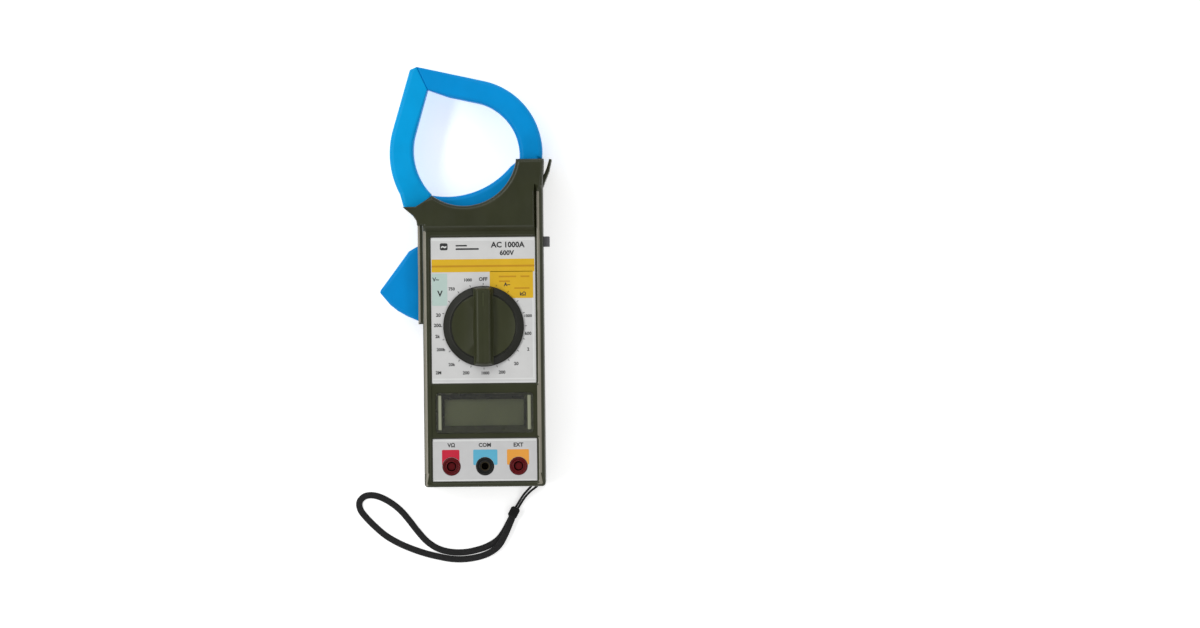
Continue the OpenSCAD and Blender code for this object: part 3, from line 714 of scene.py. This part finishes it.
def shoulder():
    """Solid to cut away the right side of the raised head, so that the side rail runs up past it."""
    section = arc((30.35, PANEL_Z), 1.75, 180, 90, 6)
    section += arc((HALF_W - RAIL_R, RAIL_Z - RAIL_R), RAIL_R, 90, 0, 8)
    section += [(40, RAIL_Z - RAIL_R), (40, 40), (27.4, 40), (27.4, HEAD_Z + 0.2), (28.2, HEAD_Z - 1.4)]
    lower = loft("shoulder", [[(x, y, z) for x, z in section] for y in (47.5, 72.3)])
    ramp = loft("ramp", [[(x, y, z + lift) for x, z in section] for y, lift in
                         ((72.2, 0), (73.2, 0.25), (74.4, 0.9), (75.6, 1.9), (77.2, 3.6))])
    return add(lower, ramp)


def front_case():
    """Front half of the case: rails round a sunk panel, raised head, pockets for the labels and the window."""
    rail_body = BODY[:-3] + [(HALF_W, 74), (20, 74), (20, 60)] + BODY[-2:]
    shell = slab("front_shell", rail_body, PARTING_Z, RAIL_Z, 0, body_rounding(rail_body, RAIL_R), 7)
    add(shell, slab("head", HEAD, PARTING_Z, HEAD_Z, 0, head_rounding(2.6), 7), head_slope(),
        flange(PARTING_Z, 26, 0, [1.6, 0, 0, 1.6]), slab("fin", FIN, PARTING_Z, 27, 0, 0.5, 3))
    cut(shell, *case_room(PARTING_Z - 1, PLATE_Z))
    add(shell, block((26.4, 54.6, RAIL_Z - WALL), (HALF_W - 1.4, 76.4, HEAD_Z - WALL)))
    cut(shell, shoulder())
    posts = [drum(p, 3.5, PARTING_Z, PLATE_Z + 1) for p in CASE_POSTS]
    posts += [drum(p, 2.6, 22.8, PLATE_Z + 1) for p in BOARD_POSTS]
    posts += [drum(p, 2.5, JAW_TOP, HEAD_Z - 1) for p in SADDLES]
    add(shell, *posts, drum(PIVOT, 4.4, 26, 30.9))
    cut(shell, *side_openings(),
        pocket(PANEL_Z, -31.2, 48.7, 1.75), pocket(PANEL_Z, -84.6, -61.0, 1.75),
        pocket(29.72, -62.6, -29.6, 0.6),
        slab("window", window_outline(26.7, 11.1, 2.0), 28, HEAD_Z),
        slab("window", window_outline(24.5, 8.9, 1.5), PLATE_Z - 1, HEAD_Z))
    holes = [drum(p, 5.0, PLATE_Z - 1, RAIL_Z) for p in SOCKETS]
    holes += [drum(p, 1.25, PARTING_Z - 1, 24) for p in CASE_POSTS]
    holes += [drum(p, 0.8, 22, 25.8) for p in BOARD_POSTS]
    cut(shell, drum((0, 0), HUB_R + 0.1, PLATE_Z - 4, RAIL_Z, 64), drum(PIVOT, 2, 25, 29.5),
        drum(PIVOT, 4.3, JAW_TOP, 26), *holes,
        block((30, BUTTON_Y - 3, BUTTON_Z - 1.75), (36, BUTTON_Y + 3, BUTTON_Z + 1.75)))
    return soften(shell, 0.3)


def rear_case():
    """Rear half of the case: flat back, battery bay, screw holes and the strap's hole."""
    shell = slab("rear_shell", BODY, 0, PARTING_Z, body_rounding(BODY, 2.2), 0, 6)
    add(shell, slab("head", HEAD, 0, PARTING_Z, head_rounding(2.2), 0, 6),
        flange(3, PARTING_Z, [1.6, 0, 0, 1.6], 0), slab("fin", FIN, 4, PARTING_Z, 0.5, 0, 3))
    cut(shell, *case_room(PLATE_T, PARTING_Z + 1))
    x, y = BAY[0] / 2, BAY[1] / 2
    add(shell, *[drum(p, 3.5, 1, PARTING_Z) for p in CASE_POSTS], drum(DOOR_SCREW, 3.2, 1, 9),
        *[drum(p, 2.5, 1, JAW_Z) for p in SADDLES],
        drum(PIVOT, 4.4, 1, JAW_Z - JAW_GAP),
        block((-x - 1.4, BATTERY_Y - y - 1.4, 1), (x + 1.4, BATTERY_Y + y + 1.4, 14)))
    holes = [drum(p, 3.0, -1, 3.2) for p in CASE_POSTS]
    holes += [drum(p, 1.6, -1, PARTING_Z + 1) for p in CASE_POSTS]
    cut(shell, *side_openings(), *holes, block((-x, BATTERY_Y - y, -1), (x, BATTERY_Y + y, 20)),
        block((-5.2, BATTERY_Y, -1), (5.2, -33.6, 1.7)), drum(DOOR_SCREW, 1.15, 0, 8.5),
        drum(PIVOT, 2, PLATE_T, JAW_Z),
        slab("strap_hole", rounded_box_outline(23.8, -90, 30.2, -84, 0.8), 4.2, 7.8))
    return soften(shell, 0.3)


def battery_door():
    """Door with a screw tab and a row of grip ribs."""
    outline = rounded_box_outline(-26.8, BATTERY_Y - 14.6, 26.8, BATTERY_Y + 14.6, 1.0)
    door = slab("battery_cover", outline, 0.2, 2.2, 0.5, 0, 4)
    add(door, slab("tab", rounded_box_outline(-5, BATTERY_Y, 5, -33.8, 1.0), 0.2, 1.6, 0.4, 0, 3))
    grooves = [slab("groove", rounded_box_outline(-9 + 0.6 * i, y, 9 - 0.6 * i, y + 0.7, 0.34, 3), -1, 0.65)
               for i, y in enumerate([BATTERY_Y + 5 + 1.7 * k for k in range(5)])]
    cut(door, drum(DOOR_SCREW, 1.4, -1, 3), drum(DOOR_SCREW, 2.4, -1, 0.9), *grooves)
    return soften(door, 0.12)


def painted_light_zones(obj, material, *zones):
    """Gives a second material to the faces whose centres lie in a zone, which is its two far corners. Here it
    paints light and shade into the colour.
    """
    obj.data.materials.append(material)
    for face in obj.data.polygons:
        centre = face.center / MM
        if any(all(a <= c <= b for a, c, b in zip(low, centre, high)) for low, high in zones):
            face.material_index = len(obj.data.materials) - 1


front = place(front_case(), "meter", M["case"], "case_olive", "front_case")
# The rails' crowns and the flange's outer edge get the pale tone as a painted highlight of the left lamp.
painted_light_zones(front, M["painted_light_zones"], ((29.4, -87, 29.3), (31.0, 73.0, 30.6)),
       ((-32.3, -87, 28.5), (-30.9, 54.5, 30.3)), ((-35.55, 1.4, 24.5), (-34.5, 55, 26.1)))
place(rear_case(), "meter", M["case"], "case_olive", "rear_case")
place(battery_door(), "battery_door", M["case"], "case_olive", "battery_door")


# ---------------------------------------------------------------- jaws
LEVER_ROUNDING = [0.8, 0.8, 1.4, 2.2, 2.6, 2.0, 1.2, 2.0, 2.6, 2.6, 2.2, 1.4, 0.8, 0.8, 0.8, 0.8]


def jaw_rounding(outline):
    """Rounding radius for each point of a jaw's outline: less where the jaws meet."""
    return [0.9 if y > 129 and -36 < x < -29 else 2.6 for x, y in outline]


def half_solid(name, outline, z0, z1, edge, front):
    """Half of a jaw or of the lever, rounded at its outer edge and flat towards the other half."""
    return slab(name, outline, z0, z1, 0 if front else edge, edge if front else 0, 7)


def half_room(outline, z0, z1, front):
    """Solid of the room inside a half, open towards the other half."""
    return slab("room", inset(outline, [JAW_WALL] * len(outline)),
                z0 - 1 if front else z0 + JAW_WALL, z1 - JAW_WALL if front else z1 + 1)


def screw_recesses(points):
    return [drum(p, 1.7, JAW_Z - 1, JAW_Z + 1.2) for p in points]


def fixed_half(name, front):
    """Half of the fixed jaw's shell."""
    z0, z1 = (JAW_MID, JAW_TOP) if front else (JAW_Z, JAW_MID)
    half = half_solid(name, FIXED_JAW, z0, z1, jaw_rounding(FIXED_JAW), front)
    cut(half, half_room(FIXED_JAW, z0, z1, front), drum(PIVOT, 5.4, z0 - 1, z1 + 1, 48),
        block((4, 50, 17), (9, 55, 20)))
    if not front:
        cut(half, *screw_recesses(FIXED_JAW_SCREWS))
    return soften(half, 0.28)


def moving_half(name, front):
    """Half of the moving jaw's shell, with its half of the lever and trigger."""
    z0, z1 = (JAW_MID, JAW_TOP) if front else (JAW_Z, JAW_MID)
    lever_z1 = LEVER_TOP if front else JAW_MID
    half = half_solid(name, MOVING_JAW, z0, z1, jaw_rounding(MOVING_JAW), front)
    cut(half, half_room(MOVING_JAW, z0, z1, front))
    lever = half_solid("lever", LEVER, z0, lever_z1, LEVER_ROUNDING, front)
    cut(lever, half_room(LEVER, z0, lever_z1, front))
    add(half, lever, drum(PIVOT, 4.8, z0, z1, 48))
    cut(half, drum(PIVOT, 3.2, z0 - 1, z1 + 1, 48), block((-60, 30, LEVER_TOP), (-20, 51, JAW_TOP + 1)))
    if not front:
        cut(half, *screw_recesses(MOVING_JAW_SCREWS))
    return soften(half, 0.28)


for half_name, front in (("front", True), ("rear", False)):
    place(fixed_half(f"fixed_jaw_shell_{half_name}", front), "meter", M["jaw"], "jaw_blue",
          f"fixed_jaw_{half_name}")
    # The moving jaw's shell is painted lighter than the fixed jaw, as painted light from the left lamp.
    moving = place(moving_half(f"moving_jaw_shell_{half_name}", front), "jaw", M["jaw_painted_light"], "jaw_blue",
                   f"moving_jaw_{half_name}")
    # The trigger keeps a darker copy of the blue than the rest of the moving jaw: painted shade.
    painted_light_zones(moving, M["trigger"], ((-58, 1, 0), (-30, 46, 37)))


# ---------------------------------------------------------------- range knob
SCOOP_R = 30.0
SKIRT_INNER_R = 17.4
SKIRT_TOP = 32.4


def range_knob():
    """Skirt with a bevelled rim, two shallow finger scoops and a grip bar across."""
    skirt = lathe("range_dial", [
        (21.6, 28.9), (KNOB_R, 29.2), (KNOB_R, 29.7), (21.7, 29.95), (18.7, 31.7), (18.2, 31.9), (17.9, 31.6),
        (17.6, 31.6), (17.3, 32.0), (16.6, 32.2), (1, 32.2)], n=128)
    bar_half = [
        (-6.0, 31.4), (-5.4, 32.2), (-4.6, 33.0), (-4.1, 35.4), (-3.9, 36.2), (-3.4, 36.75), (-2.7, KNOB_TOP)]
    section = bar_half + [(0, 36.85)] + [(-x, z) for x, z in reversed(bar_half)]
    bar = loft("bar", [[(x, y, z) for x, z in section] for y in (-KNOB_R, KNOB_R)])
    keep(bar, lathe("limit", [
        (21.8, 30), (21.4, 33), (20.6, 35.6), (20.0, 36.6), (19.2, 37.2), (18.5, 37.6)], n=128))
    scoops = []
    for side in (-1, 1):
        angles = [math.radians(a) for a in range(0, 40, 2)]
        scoop = lathe("scoop", [(0.5 + SCOOP_R * math.sin(a), -SCOOP_R * math.cos(a)) for a in angles], n=64)
        centre = Matrix.Translation(Vector((side * 11.6, 0, 61.2)) * MM)
        scoop.data.transform(centre @ Matrix.Diagonal((1, 1.75, 1, 1)))
        scoops.append(scoop)
    cut(skirt, *scoops)
    add(skirt, bar, drum((0, 0), HUB_R, 26.05, 29.2, 64), *[drum((s * 5, 0), 1.5, 23.3, 26.5) for s in (-1, 1)])
    cut(skirt, slab("mark", rounded_box_outline(-0.55, 10.5, 0.55, 18.6, 0.5), 36.5, 38))
    return soften(skirt, 0.22, 35)


knob = place(range_knob(), "knob", M["knob"], "knob_olive", "range_knob")
# The sloping outer flank of the knob gets the darker copy: painted shade.
knob.data.materials.append(M["skirt"])
for face in knob.data.polygons:
    if math.hypot(*face.center[:2]) > SKIRT_INNER_R * MM and face.center.z < SKIRT_TOP * MM:
        face.material_index = 1
mark = soften(slab("pointer_mark", rounded_box_outline(-0.5, 10.55, 0.5, 18.55, 0.45), 36.2, 36.62), 0.05)
place(mark, "knob", M["pointer"], "knob_olive")


# ---------------------------------------------------------------- hold button, window, sockets
def hold_button():
    """Key cap with a collar that keeps it in the case."""
    button = block((30, BUTTON_Y - 2.85, BUTTON_Z - 1.6), (36.5, BUTTON_Y + 2.85, BUTTON_Z + 1.6),
                   "hold_key_cap")
    add(button, block((29.1, BUTTON_Y - 3.7, BUTTON_Z - 1.6), (30.4, BUTTON_Y + 3.7, BUTTON_Z + 1.6)))
    return soften(button, 0.7, 32, 3)


def lens():
    """Clear window whose left and right ends slope down to its pocket."""
    plate = slab("display_window", window_outline(26.5, 10.9, 2.0), 28.12, 29.2)
    ends = []
    for side in (-1, 1):
        ends.append(loft("end", [[(side * 23.2, y, 29.3), (side * 25.3, y, 28.6), (side * 25.3, y, 30)]
                                 for y in (LCD_Y - 9.2, LCD_Y + 9.6)]))
    cut(plate, *ends)
    return soften(plate, 0.08)


def window_mask():
    """Printed frame behind the window, which leaves the display's own area clear."""
    mask = slab("display_frame", window_outline(26.4, 10.8, 1.9), 28.0, 28.05)
    return cut(mask, slab("clear", rounded_box_outline(-21.6, LCD_Y - 6.9, 21.4, LCD_Y + 7.4, 0.5), 27, 29))


def sleeve(name, at):
    """Socket collar with a stepped, rounded mouth."""
    ring = lathe(name, [
        (4.9, 22.8), (4.9, 28.7), (4.75, 29.05), (4.4, 29.2), (3.95, 29.1), (3.75, 28.75), (3.6, 28.6),
        (3.4, 28.6), (3.25, 28.8), (3.0, 28.9), (2.7, 28.9), (2.4, 28.75)], at, 64)
    cut(ring, drum(at, 2.6, 22, 30, 48), drum(at, 3.0, 22, 27.4, 48))
    return soften(ring, 0)


place(hold_button(), "hold_key", M["grey"], "grey_plastic", "hold_button")
window = place(lens(), "meter", M["lens"], "lens", "lcd_window")
# The lens's sloping ends get the pale colour as a painted highlight of the side lamps.
window.data.materials.append(M["lens_end_highlight"])
for face in window.data.polygons:  # its sloping ends
    if 0.2 < abs(face.normal.x) < 0.7 and face.normal.z > 0.5:
        face.material_index = 1
place(soften(window_mask(), 0), "meter", M["mask"], "lens")
for socket, at in zip(("left", "middle", "right"), SOCKETS):
    colour, slot_name = (M["black"], "black_plastic") if socket == "middle" else (M["red"], "red_plastic")
    place(sleeve(f"{socket}_socket_collar", at), "meter", colour, slot_name, f"{socket}_sleeve")


# ---------------------------------------------------------------- printing on the labels
INK_T = 0.05
LABEL_W = 28.0
SOCKET_R = 5.1


def bars(name, boxes, material, slot, top=LABEL_TOP, lift=0.0, holes=()):
    """Flat printed shapes, each (x0, y0, x1, y1, corner radius), as one piece. Holes are (x, y, radius)."""
    made = []
    for x0, y0, x1, y1, r in boxes:
        outline = rounded_box_outline(x0, y0, x1, y1, max(r, 0.01), 4 if r else 1)
        made.append(slab("bar", outline, top - 0.02, top + INK_T + lift))
    shape = joined(name, made)
    if holes:
        cut(shape, *[drum((x, y), r, top - 1, top + 1, 48) for x, y, r in holes])
    return place(shape, "meter", material, slot)


def lettering(name, items, material, slot, lift=0.0):
    """Printed text, each item (text, x, y, height), centred on its point, as one piece."""
    made = []
    for text, x, y, size in items:
        curve = bpy.data.curves.new("text", "FONT")
        curve.body = text
        curve.align_x, curve.align_y = "CENTER", "CENTER"
        curve.size = size * 1.35
        curve.offset = size * 0.045
        curve.extrude = INK_T / 2
        curve.resolution_u = 2
        obj = bpy.data.objects.new("text", curve)
        bpy.context.scene.collection.objects.link(obj)
        bpy.context.view_layer.update()
        mesh = bpy.data.meshes.new_from_object(obj.evaluated_get(bpy.context.evaluated_depsgraph_get()))
        bpy.data.objects.remove(obj)
        mesh.transform(Matrix.Scale(MM, 4) @ Matrix.Translation((x, y, LABEL_TOP + lift + INK_T / 2)))
        made.append(bpy.data.objects.new("text", mesh))
    return place(joined(name, made), "meter", material, slot)


def dial_tick(degrees):
    """Short line at the rim of the dial."""
    outline = [(22.5, -0.16), (23.6, -0.16), (23.6, 0.16), (22.5, 0.16)]
    tick = slab("tick", outline, LABEL_TOP - 0.02, LABEL_TOP + INK_T)
    return turned(tick, (0, 0, 0), (0, 0, 1), degrees)


# Dark bands under the lens along the top and sides of the display: painted shadow cast by the window's rim.
bars("display_painted_shadow", [
    (-23.8, -39.6, 21.6, -36.9, 0.4), (-22.9, -55.4, -21.9, -39.6, 0.3), (21.6, -55.4, 22.6, -39.6, 0.3)],
    M["shade"], "lens", top=28.04)
bars("label_yellow", [(-LABEL_W, 29.6, LABEL_W, 36.6, 0), (3.6, 15.2, 27.2, 29.9, 0.6)],
     M["yellow"], "label_print")
bars("label_amber", [
    (-LABEL_W, 32.3, LABEL_W, 33.3, 0), (8.6, 26.6, 18.0, 27.4, 0), (20.4, 26.6, 25.2, 27.4, 0),
    (8.6, 24.0, 14.6, 24.8, 0), (17.0, 20.2, 25.2, 21.0, 0)], M["yellow_dark"], "label_print", lift=0.03)
bars("label_green", [(-LABEL_W, 11.4, -19.6, 28.9, 0.6)], M["green"], "label_print")
bars("label_border", [
    (-LABEL_W, -29.0, LABEL_W, -28.3, 0), (-LABEL_W, -30.9, LABEL_W, -30.1, 0),
    (-LABEL_W, 46.6, LABEL_W, 48.2, 0), (26.7, -28.0, 27.5, 15.0, 0)], M["ink_pale"], "label_print")
bars("label_marks", [
    (-23.4, 41.6, -19.2, 45.4, 0.8), (-14.8, 41.7, -2.2, 42.6, 0.3), (-14.8, 43.6, -8.6, 44.4, 0.3)],
    M["ink"], "label_print")
place(joined("dial_ticks", [dial_tick(90 + 18 * i) for i in range(20)]), "meter", M["ink"], "label_print")
lettering("label_headings", [("AC 1000A", 13.6, 44.2, 3.1), ("600V", 13.0, 39.8, 2.7), ("~", -21.2, 43.4, 3.4)],
          M["ink"], "label_print")
lettering("mark_symbol", [("~", -21.3, 43.5, 3.6)], M["ink_pale"], "label_print", 0.03)
lettering("dial_numbers", [
    ("OFF", 0, 25.6, 2.0), ("1000", -8.4, 25.2, 1.7), ("750", -17.2, 20.4, 1.7), ("200", -25.2, 0.6, 1.9),
    ("20", -24.6, 6.2, 1.9), ("2k", -25.2, -5.4, 1.8), ("200k", -23.4, -12.6, 1.7), ("20k", -17.6, -20.8, 1.7),
    ("2M", -24.8, -25.2, 1.8), ("200", -9.8, -25.4, 1.8), ("1000", 0.6, -25.6, 1.7), ("200", 9.8, -25.2, 1.8),
    ("20", 17.6, -20.6, 1.8), ("2", 24.2, -12.8, 1.8), ("600", 24.2, -4.2, 1.8), ("1000", 24.2, 5.4, 1.6)],
    M["ink"], "label_print")
lettering("panel_words", [
    ("V~", -25.8, 25.6, 2.2), ("V", -23.6, 17.8, 3.2), ("A~", 13.0, 22.6, 2.0), ("kΩ", 21.6, 17.4, 2.0)],
    M["ink"], "label_print", 0.02)
for colour, x0, x1, at in (("crimson", -23.4, -13.9, SOCKETS[0]), ("cyan", -6.4, 6.8, SOCKETS[1]),
                           ("orange", 12.0, 24.0, SOCKETS[2])):
    bars(f"socket_square_{colour}", [(x0, -75.6, x1, -67.2, 0.6)], M[colour], "socket_print",
         holes=[(*at, SOCKET_R)])
bars("socket_border", [(-LABEL_W, -62.6, LABEL_W, -61.6, 0), (-LABEL_W, -84.2, LABEL_W, -83.4, 0)],
     M["ink_pale"], "socket_print")
lettering("socket_words", [(word, x, -64.8, 2.2) for word, (x, y) in zip(("VΩ", "COM", "EXT"), SOCKETS)],
          M["ink"], "socket_print")


# ---------------------------------------------------------------- finishes of the CAD's own pieces
FINISHES = {
    "label": ["range_label"],
    "socket_label": ["socket_label"],
    "lcd": ["lcd_glass"],
    "black": ["lcd_holder", "battery_snap", "hold_plunger"],
    "pink": ["zebra_strips"],
    "board": ["main_board"],
    "epoxy": ["meter_chip"],
    "resistor": ["resistors"],
    "capacitor": ["capacitors"],
    "trimmer": ["trimmer"],
    # The jacks are painted near black as painted shade inside the sockets.
    "jack": ["input_jacks"],
    "brass": ["buzzer", "contact_brushes", "pivot_bush"],
    "battery": ["battery"],
    "wire": ["battery_wires", "coil_leads"],
    "core": ["fixed_jaw_core", "moving_jaw_core"],
    "white": ["coil_bobbin", "switch_rotor"],
    "copper": ["coil_winding"],
    "steel": ["case_screws", "board_screws", "battery_door_screw", "fixed_jaw_screws", "moving_jaw_screws",
              "hold_switch", "pivot_pin", "detent_balls", "strap_pin"],
    "spring": ["jaw_spring", "detent_springs"],
}
for finish, names in FINISHES.items():
    for name in names:
        nodes[name].data.materials.clear()
        nodes[name].data.materials.append(M[finish])
